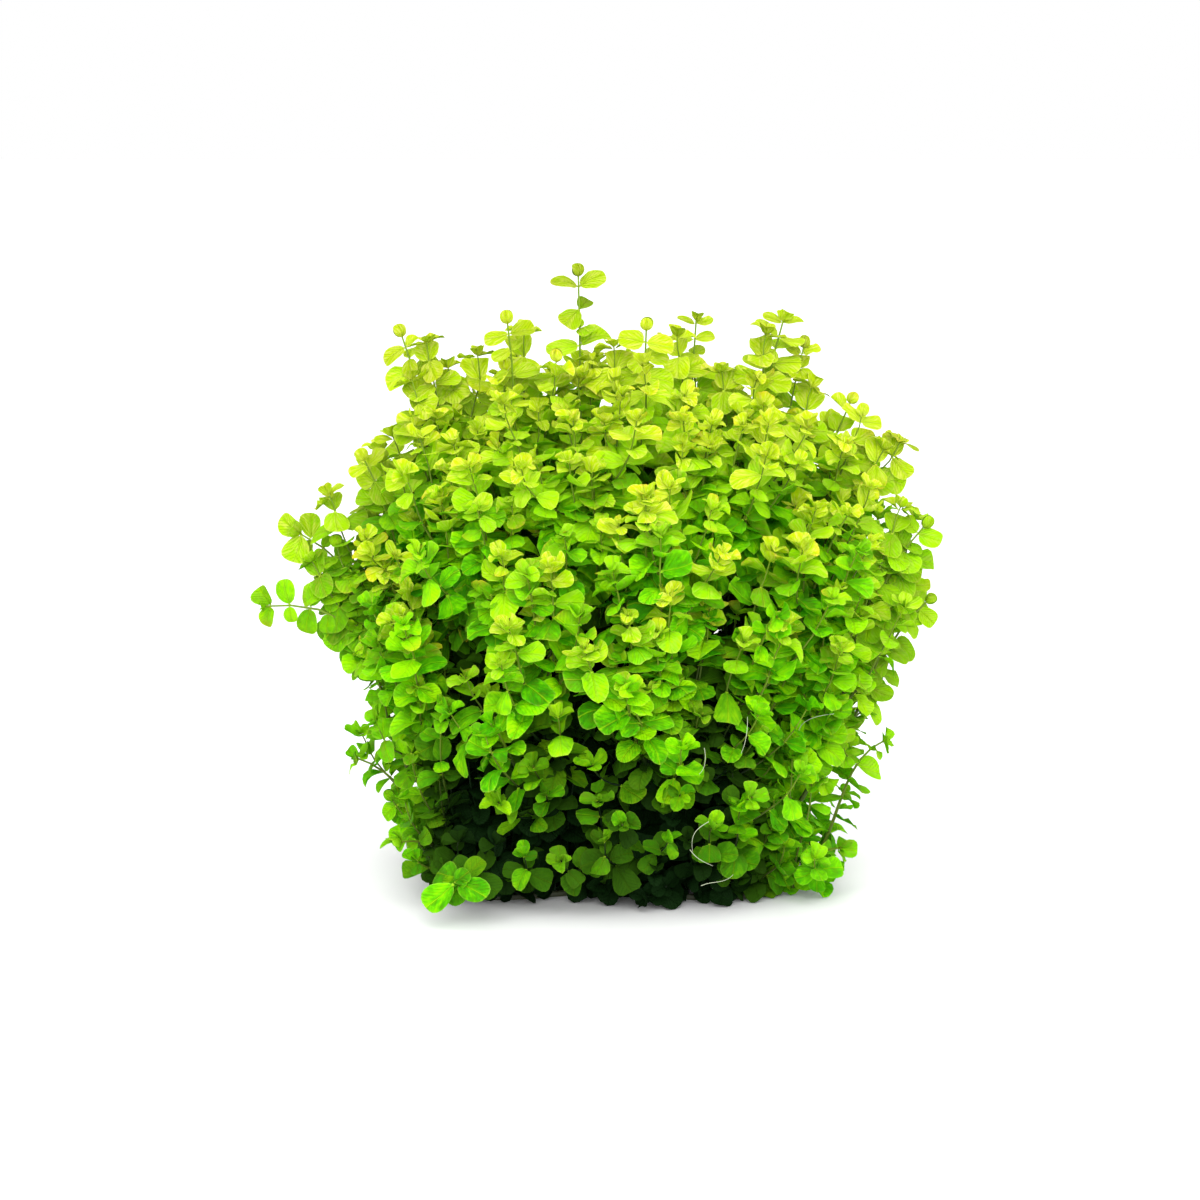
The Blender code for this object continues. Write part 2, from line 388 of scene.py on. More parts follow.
canopy = {
    "middle": np.array([9.0, 0.0, 124.0]) * mm,
    "half": np.array([132.0, 113.0, 122.0]) * mm,
    "halfBelow": 158 * mm,
    "power": 2.5,
    "waist": 0.17,          # how much narrower the lower part is
    "overhang": (60 * mm, 160 * mm),
    # share of the way out, spacing, scatter in depth and highest tip of each layer
    "layers": (
        (0.98, 26 * mm, (-15 * mm, 4 * mm), 1.0),
        (0.90, 25 * mm, (-12 * mm, 5 * mm), 100 * mm),
        (0.83, 27 * mm, (-9 * mm, 7 * mm), 1.0),
        (0.64, 32 * mm, (-9 * mm, 6 * mm), 1.0),
        (0.42, 38 * mm, (-9 * mm, 6 * mm), 1.0),
    ),
    "fill": 1.25,           # how many more tips than the spacing alone would give
    "scatter": 5 * mm,
    "lowest": 12 * mm,
    # the lower middle is more open, and each pair gives where that starts to end and where it ends
    "openAside": 8 * mm,    # how far left of the canopy's middle it lies
    "openWidth": (72 * mm, 93.6 * mm),
    "openTop": (70 * mm, 125 * mm),
    "openShare": 0.56,      # of the twigs stay there
    "openLayers": 0.7,      # only the layers further out than this are opened
    "clearance": 13 * mm,   # between a spread tip and any listed tip
    # tips that stand out in the outline, in millimetres
    "outline": (
        (-80, 0, 253), (-86, -6, 236), (-35, -10, 257), (6, -20, 252), (56, -10, 240),
        (76, -6, 256), (94, 12, 249), (98, 0, 232), (131, -8, 204), (139, 0, 206), (146, -6, 172),
        (-126, 0, 182), (-101, 0, 197), (-96, 8, 208), (-108, 6, 176), (-134, -8, 152), (-98, -10, 42),
        (-56, 6, 246), (36, 6, 254), (-70, 10, 240), (138, -20, 178), (146, 4, 142), (-112, -12, 150),
        (-104, 4, 172), (-118, 10, 134), (124, 6, 206), (120, -10, 220), (-122, -4, 158), (-130, 4, 140),
    ),
    # a shoot whose tip is this near the middle and this high shows against the sky
    "skyDepth": 30 * mm,
    "skyHeight": 110 * mm,
    # tips that stand out at the front, bright above this height
    "brightAbove": 104 * mm,
    "front": (
        (-39, -112, 137), (-50, -106, 88), (52, -104, 168), (82, -90, 136), (12, -116, 111),
        (62, -98, 56), (19, -100, 192), (89, -84, 168), (75, -60, 220), (-22, -105, 162),
        (-70, -70, 186), (2, -62, 220), (122, -40, 190), (-88, -70, 134), (30, -106, 150),
        (36, -112, 84), (-6, -116, 128), (-5, -95, 74), (17, -97, 93), (70, -92, 96), (-24, -94, 61),
        (0, -96, 58), (-18, -99, 96), (-34, -98, 33), (-18, -97, 31), (2, -99, 40), (30, -100, 41),
        (35, -99, 60), (-45, -95, 57), (49, -100, 48), (-66, -90, 96), (90, -76, 66),
    ),
}


def girth(height):
    # The clump's width at a height as a share of its widest: it narrows below the overhang
    return 1 - canopy["waist"] * (1 - smoothStep(height, *canopy["overhang"]))


def fromMiddle(points):
    # Offsets from the canopy's middle, each over the canopy's half size on that side
    away = points - canopy["middle"]
    half = np.broadcast_to(canopy["half"], away.shape).copy()
    half[..., :2] *= girth(points[..., 2])[..., None]
    half[..., 2] = np.where(away[..., 2] < 0, canopy["halfBelow"], half[..., 2])
    return away / half


def depthInside(points):
    # 0 at the canopy's middle and 1 on its surface: the p-norm of the offsets
    return (np.abs(fromMiddle(points)) ** canopy["power"]).sum(axis=-1) ** (1 / canopy["power"])


def spiralDirections(count):
    # Points on a sphere along a spiral that turns by the golden angle at each equal step down
    step = np.arange(count) + 0.5
    height = 1 - 2 * step / count
    turn = step * math.pi * (3 - math.sqrt(5))
    level = np.sqrt(1 - height**2)
    return np.stack([level * np.cos(turn), level * np.sin(turn), height], axis=1)


def spreadTips():
    # Spiral directions scaled out to each layer, scattered, and kept clear of the placed tips
    byHand = np.array(canopy["outline"] + canopy["front"], float) * mm
    placed = np.concatenate([byHand, [path[-1] for path in shoots]])
    found = [byHand]
    middle = canopy["middle"]
    for share, spacing, sink, highest in canopy["layers"]:
        half = canopy["half"] * share
        area = 4 * math.pi * (half[0] * half[1] + half[0] * half[2] + half[1] * half[2]) / 3
        count = int(canopy["fill"] * area / spacing**2)
        ways = spiralDirections(count) * canopy["half"]
        downwards = ways[:, 2] * canopy["halfBelow"] / canopy["half"][2]
        ways[:, 2] = np.where(ways[:, 2] < 0, downwards, ways[:, 2])
        spots = middle + share * ways / depthInside(middle + ways)[:, None]
        spots = middle + share * (spots - middle) / depthInside(spots)[:, None]
        spots += rng.normal(0, canopy["scatter"], spots.shape)
        spots += unit(spots - middle) * rng.uniform(*sink, (count, 1))
        spots = spots[(spots[:, 2] > canopy["lowest"]) & (spots[:, 2] < highest)]
        near = np.linalg.norm(spots[:, None] - placed[None], axis=2).min(axis=1)
        aside = np.abs(spots[:, 0] - middle[0] + canopy["openAside"])
        central = 1 - smoothStep(aside, *canopy["openWidth"])
        central = central * (1 - smoothStep(spots[:, 2], *canopy["openTop"])) * (spots[:, 1] < 0)
        chance = 1 - (1 - canopy["openShare"]) * central * (share > canopy["openLayers"])
        found.append(spots[(near > canopy["clearance"]) & (rng.random(count)[: len(spots)] < chance)])
    return np.concatenate(found)


twigs = {
    "length": 62 * mm,
    "shortest": 16 * mm,
    "lean": 0.75,
    "rise": 0.8,
    "upwardPull": (2.2, 1.2),   # how far its tip turns up, low down and high up
    "pullHeights": (60 * mm, 150 * mm),
    "longest": 0.62,            # as a share of its shoot's length
    "firstPlace": 0.12,         # as the same share, from the shoot's root to its lowest twig
    "handles": (0.34, 0.38),    # of its curve, as shares of its reach
    "sway": 0.9 * mm,
    "waves": (26 * mm, 44 * mm),
}


def growTwig(tip):
    # Finds the shoot nearest the tip, and curves out from it some way below its nearest point
    gaps = [np.linalg.norm(path - tip, axis=1).min() for path in shoots]
    owner = int(np.argmin(gaps))
    path = shoots[owner]
    along = lengthsAlong(path)
    nearest = along[np.argmin(np.linalg.norm(path - tip, axis=1))]
    back = min(twigs["length"], twigs["longest"] * along[-1])
    leaveAt = nearest - math.sqrt(max(back**2 - gaps[owner] ** 2, 1e-6))
    leaveAt = max(leaveAt, twigs["firstPlace"] * along[-1])
    leaveAt = min(leaveAt, along[-1] - twigs["shortest"])
    start = atLengths(path, [leaveAt])[0]
    onward = tangentsAt(path, np.array([leaveAt]))[0]
    away = tip - start
    reach = np.linalg.norm(away)
    side = unit(away - onward * (away @ onward))
    leave = start + twigs["handles"][0] * reach * unit(twigs["rise"] * onward + twigs["lean"] * side)
    lowPull, highPull = twigs["upwardPull"]
    pull = lowPull + (highPull - lowPull) * smoothStep(tip[2], *twigs["pullHeights"])
    arrive = tip - twigs["handles"][1] * reach * tipDirection(tip, pull)
    return owner, bezier(start, leave, arrive, tip, 40)


def swayed(path):
    # The path with two slow sine bends across it, none at its start
    along = lengthsAlong(path)[:, None]
    share = along / along[-1]
    waves = rng.uniform(*twigs["waves"], (2, 1, 3))
    turns = rng.uniform(0, 2 * np.pi, (2, 1, 3))
    bends = np.sin(2 * np.pi * along / waves[0] + turns[0])
    bends = bends + 0.5 * np.sin(4 * np.pi * along / waves[1] + turns[1])
    return path + twigs["sway"] * bends * share * (1 - 0.4 * share)


mat = {
    "spacing": 12.0 * mm,
    "low": (-90 * mm, -80 * mm),    # two corners of the grid
    "high": (90 * mm, 58 * mm),
    "heights": (8 * mm, 112 * mm),
    "jitter": 4 * mm,
    "shift": 3 * mm,
    "rooted": 84 * mm,      # how far along a runner, each way, the sprigs rise
    "rootChoice": 9 * mm,   # how much further off than the nearest place a root may be
}


def growMat():
    # Short sprigs that rise off the runners to a jittered grid of tips, and who owns each
    spread = np.linspace(-1, 1, 60) * mat["rooted"]
    rows = [onRunner(row, spread) for row in range(len(clump["runnerRows"]))]
    rows = np.array(rows).reshape(-1, 3)
    starts = np.array([path[0] for path in trailingShoots])
    alongX = np.arange(mat["low"][0], mat["high"][0], mat["spacing"])
    alongY = np.arange(mat["low"][1], mat["high"][1], mat["spacing"])
    spots = np.stack(np.meshgrid(alongX, alongY), axis=-1).reshape(-1, 2)
    spots = spots + rng.normal(0, mat["shift"], (1, 2))
    sprigs = []
    for spot in spots:
        x, y = spot + rng.normal(0, mat["jitter"], 2)
        tip = np.array([clump["runnerCentre"] + x, y, rng.uniform(*mat["heights"])])
        distances = np.linalg.norm(rows - tip, axis=1)
        root = rows[np.argmin(distances + rng.uniform(0, mat["rootChoice"], len(rows)))]
        rise = 0.5 * (tip[2] - root[2])
        arrive = tip - rise * up + rng.normal(0, mat["shift"], 3)
        path = bezier(root, root + rise * up, arrive, tip, 24)
        owner = len(leafyShoots) + int(np.argmin(np.linalg.norm(starts - root, axis=1)))
        sprigs.append((owner, path))
    return sprigs


tips = spreadTips()
branches = [[] for _ in shoots]
# each branch is its path, whether it is a shoot, whether it shows against the sky, and its rank: -1
# for a sprig, 0 for an ordinary twig, 1 for one that stands out low at the front, 2 for a bright one
for number, path in enumerate(shoots):
    shows = abs(path[-1][1]) < canopy["skyDepth"] and path[-1][2] > canopy["skyHeight"]
    branches[number].append((path, True, shows, 0))
inOutline = len(canopy["outline"])
inFront = inOutline + len(canopy["front"])
for place, tip in enumerate(tips):
    owner, path = growTwig(tip)
    if lengthsAlong(path)[-1] > twigs["shortest"]:
        rank = (1 + (tip[2] > canopy["brightAbove"])) * (inOutline <= place < inFront)
        branches[owner].append((swayed(path), False, place < inOutline, rank))
for owner, path in growMat():
    branches[owner].append((path, False, False, -1))
grown = sum(len(own) for own in branches) - len(shoots)
print(f"{grown} side twigs and sprigs on {len(shoots)} shoots")

# Leaves

leafShape = {
    "size": 14.0 * mm,      # stalk and blade of a grown leaf
    "bud": 6.6 * mm,
    "budDepth": 4.8 * mm,   # from a twig's end down to the foot of its bud
    "stalkShare": 0.05,
    "stalkHalf": 0.11,      # as a share of the blade's half width
    "thick": 0.28 * mm,
    "foot": 0.3 * mm,       # from the middle of a twig out to a leaf's foot
    "detailed": 0.885,      # leaves further in than this share of the way out are plainer
}


def leafTemplate(degrees, columns):
    # One leaf as a grid: stations run from the stalk's root to the blade's tip, and columns
    # run across. x is the share of the length, and turn the station's place on the blade, from
    # 0 at its base to half a turn at its tip. The underside has a middle column of its own and
    # shares the rim, so the leaf is closed.
    angle = np.radians(degrees)
    stalk = leafShape["stalkShare"]
    x = np.concatenate([[0.0], stalk + (1 - stalk) * (1 - np.cos(angle)) / 2])
    turn = np.concatenate([[0.0], angle])
    rows = len(x) - 1       # the last station is one point
    wide = len(columns)
    half = wide // 2
    tip = wide * rows
    pick = np.concatenate([np.repeat(np.arange(rows), wide), [rows], np.arange(1, rows)])
    across = np.concatenate([np.tile(columns, rows), [0.0], np.zeros(rows - 1)])
    below = np.concatenate([np.zeros(tip + 1), np.ones(rows - 1)])
    top = lambda row, column: wide * row + column
    under = lambda row: tip + row
    faces = []
    for row in range(rows - 1):
        for c in range(wide - 1):
            faces += [(top(row, c), top(row + 1, c), top(row + 1, c + 1), top(row, c + 1))]
    faces += [(top(rows - 1, c), tip, top(rows - 1, c + 1)) for c in range(wide - 1)]
    faces += [(*[top(0, c) for c in range(half + 1)], under(1), top(1, 0))]
    faces += [(*[top(0, c) for c in range(half, wide)], top(1, wide - 1), under(1))]
    for row in range(1, rows - 1):
        faces += [(top(row, 0), under(row), under(row + 1), top(row + 1, 0))]
        faces += [(under(row), top(row, wide - 1), top(row + 1, wide - 1), under(row + 1))]
    last = rows - 1
    faces += [(top(last, 0), under(last), tip), (under(last), top(last, wide - 1), tip)]
    return {"x": x[pick], "turn": turn[pick], "v": across, "below": below, "faces": faces}


clearLeaf = leafTemplate([0, 18, 40, 64, 89, 112, 133, 151, 167, 180], np.linspace(-1, 1, 5))
fineLeaf = leafTemplate([0, 27, 57, 88, 117, 142, 163, 180], np.linspace(-1, 1, 5))
plainLeaf = leafTemplate([0, 36, 80, 122, 155, 180], np.linspace(-1, 1, 3))


def bladeWidths(template, leaves):
    # Half widths as shares of the length: a sine over the blade, raised to a power that squares
    # it off, times a power of the place that narrows the base to a wedge, wider towards the base
    # or the tip by a cosine, with a small ripple in the outline
    turn = template["turn"][None]
    one = lambda key: leaves[key][:, None]
    w = np.sin(turn) ** one("square") * ((1.02 - np.cos(turn)) / 2) ** one("wedge")
    w = w * (1 + one("ovate") * np.cos(turn))
    ripple = np.sin(turn * one("waves") * 2 + one("phase") + (template["v"][None] > 0) * one("skew"))
    w = w * (1 + one("ragged") * ripple)
    isTip = template["turn"][None] > np.pi - 0.001
    return np.where(isTip, 0, np.maximum(w, leafShape["stalkHalf"])) * one("width")


def leafPoints(template, leaves):
    # Each leaf's points from its own numbers. Along the leaf it domes with x(1-x) and arches
    # down with x squared, across it cups up with the square of the offset, its margin waves as
    # a sine, it folds a little along the midrib, and it twists as it goes out.
    x = template["x"][None]
    v = template["v"][None]
    w = bladeWidths(template, leaves)
    one = lambda key: leaves[key][:, None]
    across = v * w
    length = one("size")
    edge = v**2 * np.minimum(w * 4, 1)
    wave = np.sin(2 * np.pi * one("waves") * x + one("phase") + (v > 0) * one("skew"))
    rise = (
        one("dome") * 4 * x * (1 - x)
        - one("arch") * x**2
        + one("cup") * across**2 * 4
        + one("wavy") * edge * wave
        + one("fold") * np.abs(across)
        + one("twist") * across * x
        + one("curl") * np.maximum(x - 0.55, 0) ** 2
    )
    sway = one("bend") * x**2
    thick = leafShape["thick"] * template["below"][None] * (0.4 + 0.6 * np.minimum(w * 3, 1))
    local = np.stack([length * x, length * (across + sway), length * rise - thick], axis=-1)
    sideways = np.cross(leaves["normal"], leaves["along"])
    axes = np.stack([leaves["along"], sideways, leaves["normal"]], axis=1)
    points = leaves["base"][:, None] + local @ axes
    under = np.minimum(points[..., 2].min(axis=1) - 0.4 * mm, 0)
    points[..., 2] -= under[:, None]
    return points


habit = {
    # how far a leaf opens in degrees, by millimetres from the bud, and the same against the sky
    "opening": ((3, 8, 18, 40, 80), (60, 68, 76, 84, 92)),
    "level": ((3, 8, 18, 40, 80), (74, 80, 86, 92, 96)),
    "internode": 9.6 * mm,
    "gapSpread": (0.75, 1.2),
    "gapGrowth": (0.95, 1.35),
    "steps": (2.8, 4.2, 5.6, 7.0, 8.4),     # the first gaps between pairs where a tip is crowded
    "crowdedAbove": 112 * mm,
    "buriedGaps": 1.55,
    "buriedShare": 0.8,     # a tip further in than this share of the way out is buried
    "firstClosed": (2.4, 4.0),      # millimetres from a closed or an open bud to the first free pair
    "firstOpen": (-0.5, 1.5),
    "closedChance": (0.3, 0.15),    # of a closed bud: where a twig shows, and on others this high
    "closedAbove": 235 * mm,
    "bare": (0.22, 0.10, 0.02),     # share with no leaves at the root of a shoot, twig and sprig
    "leftTwigs": (-95 * mm, 0.85),      # tips further left that show have pairs closer by this
    "leftShoots": (-120 * mm, 0.55),    # and shoots further left are bare for this share
    "sizes": (0.62, 1.12),
    "clearSizes": (0.84, 1.04),     # the same where a twig stands out
    "olderSizes": ((0, 40, 110), (1, 1, 0.85)),     # by millimetres from the bud
    "lowSizes": ((0, 110), (0.84, 1.0)),            # by millimetres of height
    "innerGrowth": 0.55,
    "deepShare": 0.52,
    "deepAbove": 110 * mm,
    "lightPull": 0.75,
    "outward": 0.50,
    "facing": 0.25,
    "frontOf": 25 * mm,     # tips behind this face the back
    "toView": (0.75, 2.0),  # how far leaves against the sky face the front: all, and more if level
    "edgewise": 1.8,
    "lowTip": 30 * mm,
    "lowLift": 1.6,
    "scatter": 0.34,
}

# shoots that stand clear, by number and pair by pair: millimetres below the tip, degrees round
# from across the view, then the length in millimetres and the opening in degrees of the left or
# lower leaf and of the right or upper one
poses = {
    0: (
        (9.2, 0, 12.8, 82, 13, 72), (19.5, 62, 12, 80, 9, 84), (28, 100, 8, 78, 6, 75),
        (36, 0, 15.4, 86, 14.4, 74), (47, 8, 14.4, 96, 14.6, 98), (56, 80, 14, 90, 14, 90),
    ),
    1: (
        (9.2, 0, 11.6, 90, 11.6, 86), (16.5, 35, 9.4, 94, 6, 62), (28, 10, 9, 95, 12, 80),
        (37, 80, 12, 90, 12, 90),
    ),
    3: ((10, 0, 12.2, 82, 12.6, 86), (17.5, 50, 8, 90, 11.6, 92), (26, 5, 13, 92, 13, 92)),
    4: (
        (6, 10, 8.6, 78, 8.6, 58), (13.5, 0, 10.2, 76, 9.6, 80), (20, 70, 9, 90, 9, 90),
        (28, 0, 12.4, 90, 12.4, 88),
    ),
    6: (
        (5, 30, 9.6, 72, 9.6, 80), (11.5, 0, 12.4, 62, 12, 84), (17.5, 75, 11.6, 88, 12.4, 90),
        (24, 0, 13.6, 92, 13, 76), (32, 80, 13.6, 90, 13.6, 90),
    ),
    9: ((9.6, 0, 12, 104, 7, 60), (15, 70, 9, 90, 9, 90), (23, 0, 13.6, 96, 12.6, 72)),
    15: (
        (5, 0, 13.4, 100, 12.6, 14), (9.5, 0, 6, 96, 12, 62), (17, 25, 8, 95, 6, 80),
        (24, 0, 9, 84, 9, 92), (31, 70, 10, 90, 10, 90),
    ),
    16: (
        (7, 5, 9.6, 70, 9.8, 56), (15.5, 15, 7.6, 96, 12, 78), (25, 0, 11.8, 92, 11.6, 86),
        (34, 40, 9, 90, 8, 90),
    ),
    39: (
        (1.5, -52, 15.8, 94, 8, 60), (4.5, 50, 15, 90, 13, 88), (11, -40, 13, 92, 11, 84),
        (17, 50, 13.5, 88, 12, 84),
    ),
}
openBuds = (4, 6, 15, 16, 39)   # which of them end in an open bud

# the numbers that shape a blade: how each is drawn, with what limits or mean and spread where the
# twig shows and elsewhere, and its value in a closed and in an open bud
blades = {
    "width": (rng.uniform, (0.43, 0.53), (0.43, 0.53), (0.47, 0.40)),
    "square": (rng.uniform, (0.52, 0.82), (0.52, 0.82), (0.9, 0.9)),
    "wedge": (rng.uniform, (0.0, 0.14), (0.0, 0.26), (0, 0)),
    "ovate": (rng.normal, (-0.05, 0.09), (-0.05, 0.09), None),
    "ragged": (rng.uniform, (0.0, 0.09), (0.0, 0.09), None),
    "dome": (rng.normal, (0.02, 0.07), (0.02, 0.07), (-0.30, 0)),
    "arch": (rng.normal, (0.08, 0.08), (0.08, 0.16), (-0.12, 0)),
    "cup": (rng.normal, (0.0, 0.10), (0.0, 0.20), (0.33, 0.05)),
    "wavy": (rng.uniform, (0.01, 0.09), (0.01, 0.09), (0, 0)),
    "waves": (rng.uniform, (0.8, 2.1), (0.8, 2.1), None),
    "phase": (rng.uniform, (0, 2 * np.pi), (0, 2 * np.pi), None),
    "skew": (rng.uniform, (0.5, 2.6), (0.5, 2.6), None),
    "fold": (rng.uniform, (-0.08, 0.14), (-0.08, 0.30), (0, 0)),
    "twist": (rng.normal, (0, 0.12), (0, 0.25), (0, 0)),
    "curl": (rng.normal, (-0.1, 0.25), (-0.2, 0.7), (0, 0)),
    "bend": (rng.normal, (0, 0.06), (0, 0.06), None),
}
calmer = {"ragged": 0.6, "wavy": 0.7}   # how much less of these a leaf whose pose is listed has
fuller = {"cup": 0.12, "fold": 0.3}     # how much more of these the youngest leaves have


def pairGaps(shows, crowded, buried):
    # Distances between pairs from the tip down: close at a crowded tip, wider further down, and
    # wider on a twig that ends inside the clump
    most = 34
    gaps = habit["internode"] * rng.uniform(*habit["gapSpread"], most)
    gaps = gaps * np.linspace(*habit["gapGrowth"], most)
    if buried:
        gaps = gaps * habit["buriedGaps"]
    elif crowded and not shows:
        crowd = rng.uniform(0.8, 1.35)
        gaps[: len(habit["steps"])] = np.array(habit["steps"]) * mm * crowd
    return gaps


def pairDepths(path, isMain, shows, rank, posed, closed, buried):
    # How far below the twig's tip each pair is: the bud's two, those placed by hand if there are
    # any, and running sums of the gaps from there down to the bare stretch at its root
    total = lengthsAlong(path)[-1]
    tip = path[-1]
    first = leafShape["budDepth"] + rng.uniform(*habit["firstClosed" if closed else "firstOpen"]) * mm
    gaps = pairGaps(shows, tip[2] > habit["crowdedAbove"], buried and rank >= 0)
    leftOf, closer = habit["leftTwigs"]
    if shows and tip[0] < leftOf:
        gaps = closer * gaps
    depths = np.concatenate([[0.0], np.cumsum(gaps)]) + first
    if len(posed):
        depths = np.concatenate([posed[:, 0] * mm, posed[-1, 0] * mm + depths[1:] - first])
    depths = np.concatenate([leafShape["budDepth"] - np.array([0.4, 0.0]) * mm, depths])
    bare = habit["bare"][0 if isMain else 1 if rank >= 0 else 2]
    leftOf, barer = habit["leftShoots"]
    if isMain and shows and tip[0] < leftOf:
        bare = barer
    return depths[depths < total - bare * total]


def lightOn(tip, spots, tangents, shows, rank, buried):
    # What the blades turn to: the view where a twig shows against the sky, every way but up and
    # down where it is buried, which closes the view through the clump, and otherwise upwards,
    # outwards and a little to the front or back
    count = len(spots)
    front = np.sign(tip[1] - habit["frontOf"]) * np.array([0.0, 1.0, 0.0])
    if shows:
        toView, sideways = habit["toView"]
        level = smoothStep(np.abs(tangents[:, :1]), 0.4, 0.8)
        light = (toView + sideways * level) * front + 0.1 * rng.normal(size=(count, 3))
        return light + habit["lowLift"] * up if tip[2] < habit["lowTip"] else light
    if buried:
        return habit["edgewise"] * unit(rng.normal(size=(count, 3)) * np.array([1.0, 1.0, 0.3]))
    out = fromMiddle(spots) * np.array([1.0, 1.0, 0.0])
    facing = habit["facing"] * (2.4 if rank == 2 else 1.0)
    return unit(up + habit["outward"] * out + facing * front + 0.3 * rng.normal(size=3))


def placeLeaves(path, isMain, shows, rank, pose, ball):
    # Opposite pairs of leaves down a twig from its tip, each pair a quarter turn on from the last
    tip = path[-1]
    buried = depthInside(tip) < habit["buriedShare"] and not isMain
    clearChance, highChance = habit["closedChance"]
    closed = shows and (isMain or rng.random() < clearChance)
    closed = closed or (tip[2] > habit["closedAbove"] and rng.random() < highChance)
    if ball is not None:
        closed = ball
    posed = np.array(pose, float).reshape(-1, 6)
    fromTip = pairDepths(path, isMain, shows, rank, posed, closed, buried)
    count = len(fromTip)
    places = lengthsAlong(path)[-1] - fromTip
    spots = atLengths(path, places)
    tangents = tangentsAt(path, places)
    # where the twig shows against the sky, its first spread pair lies across the view
    side = unit(np.cross(tangents, np.array([0.0, 1.0, 0.0]) + 0.1 * rng.normal(size=3)))
    other = np.cross(tangents, side)
    start = 0.0 if shows or rng.random() < 0.3 else rng.uniform(0, np.pi)
    turn = start + np.arange(count) * np.pi / 2 + rng.normal(0, 0.2, count)
    light = lightOn(tip, spots, tangents, shows, rank, buried)
    # the two pairs at the very tip: a closed ball whose outer leaf faces the view, or a tiny bud
    # between two young leaves
    isBud = np.arange(count) < (2 if closed else 1)
    isYoung = (np.arange(count) == 1) & ~isBud
    if closed:
        turn[:2] = np.array([0.0, np.pi / 2]) + rng.normal(0, 0.2, 2)
    budOpening = np.radians([4, rng.uniform(5, 9)] if closed else [22, rng.uniform(38, 66)])
    budSize = leafShape["bud"] * np.array([0.8, 1.0] if closed else [0.5, rng.uniform(1.0, 1.35)])
    isPosed = (np.arange(count) >= 2) & (np.arange(count) < 2 + len(posed))
    posed = posed[: isPosed.sum()]
    turn[isPosed] = np.radians(posed[:, 1])
    depth = np.maximum(fromTip - leafShape["budDepth"], 0)
    grown = np.where(isBud, 0.0, smoothStep(depth, -7 * mm, (12 if shows else 19) * mm))
    young = 1 - grown
    made = []
    for number, half in enumerate((0.0, np.pi)):
        angle = turn + half + rng.normal(0, 0.12, count) * ~isPosed
        outward = np.cos(angle)[:, None] * side + np.sin(angle)[:, None] * other
        opening = np.interp(depth / mm, *habit["level" if shows else "opening"])
        opening = np.radians(opening) + rng.normal(0, 0.12 if shows else 0.17, count)
        opening[:2] = budOpening
        opening[isPosed] = np.radians(posed[:, 3 + 2 * number])
        along = np.cos(opening)[:, None] * tangents + np.sin(opening)[:, None] * outward
        normal = np.sin(opening)[:, None] * tangents - np.cos(opening)[:, None] * outward
        pull = (1.0 if shows else habit["lightPull"]) * smoothStep(depth, 0, (3 if shows else 14) * mm)
        pull = np.where(isPosed, 1.0, pull)[:, None]
        loose = habit["scatter"] * rng.normal(size=(count, 3)) * ~isBud[:, None]
        normal = unit(normal + pull * light + loose * (0.25 if shows else 1.0))
        along = unit(along - normal * (along * normal).sum(axis=1, keepdims=True))
        size = leafShape["bud"] + (leafShape["size"] - leafShape["bud"]) * grown
        sizes = habit["clearSizes"] if shows or rank == 2 else habit["sizes"]
        size = size * rng.uniform(*sizes, count)
        size = size * np.interp(depth / mm, *habit["olderSizes"])
        size = size * np.interp(spots[:, 2] / mm, *habit["lowSizes"])
        size = size * (1 + habit["innerGrowth"] * (1 - smoothStep(depthInside(spots), 0.5, 0.8)))
        size[:2] = budSize * rng.uniform(0.9, 1.0, 2)
        size[isPosed] = posed[:, 2 + 2 * number] * mm
        base = spots + outward * leafShape["foot"]
        leaf = {"base": base, "along": along, "normal": normal, "size": size, "depth": depth}
        leaf["clear"] = np.full(count, float(shows))
        for key, (draw, clear, dense, bud) in blades.items():
            values = draw(*(clear if shows else dense), count)
            values = values + fuller.get(key, 0) * (isYoung if key == "fold" else young)
            values = values * (1 - calmer.get(key, 0) * isPosed)
            leaf[key] = values if bud is None else np.where(isBud, bud[0 if closed else 1], values)
        made.append(leaf)
    leaves = {key: np.concatenate([half[key] for half in made]) for key in made[0]}
    # deep in the upper clump, where nothing is seen, every other leaf is left out
    deep = depthInside(leaves["base"]) < habit["deepShare"]
    deep = deep & (leaves["base"][:, 2] > habit["deepAbove"])
    kept = ~deep | (rng.random(len(deep)) < 0.5)
    return {key: values[kept] for key, values in leaves.items()}


shadeRange = {
    "heights": (0, 30, 62, 105, 150, 225),      # millimetres
    "low": (0.86, 0.81, 0.74, 0.64, 0.42, -0.30),
    "high": (1.70, 1.56, 1.35, 1.12, 0.92, 0.40),
    "most": ((75, 125, 190), (1.0, 0.55, 0.12)),
    "centre": -3 * mm,
    "sides": (46 * mm, 100 * mm),
    "lessAtSides": 0.85,
    "sidesInside": (0.35, 0.75),
}


def darkness(points):
    # 0 in the light and 1 deep in the shade: a smooth step in the share of the way out, with
    # limits that depend on the height, and less of it in the upper part and at the sides
    inside = depthInside(points)
    height = points[..., 2] / mm
    low = np.interp(height, shadeRange["heights"], shadeRange["low"])
    high = np.interp(height, shadeRange["heights"], shadeRange["high"])
    dark = 1 - smoothStep((inside - low) / (high - low))
    sides = smoothStep(np.abs(points[..., 0] - shadeRange["centre"]), *shadeRange["sides"])
    less = shadeRange["lessAtSides"] * sides * smoothStep(inside, *shadeRange["sidesInside"])
    return dark * np.interp(height, *shadeRange["most"]) * (1 - less)


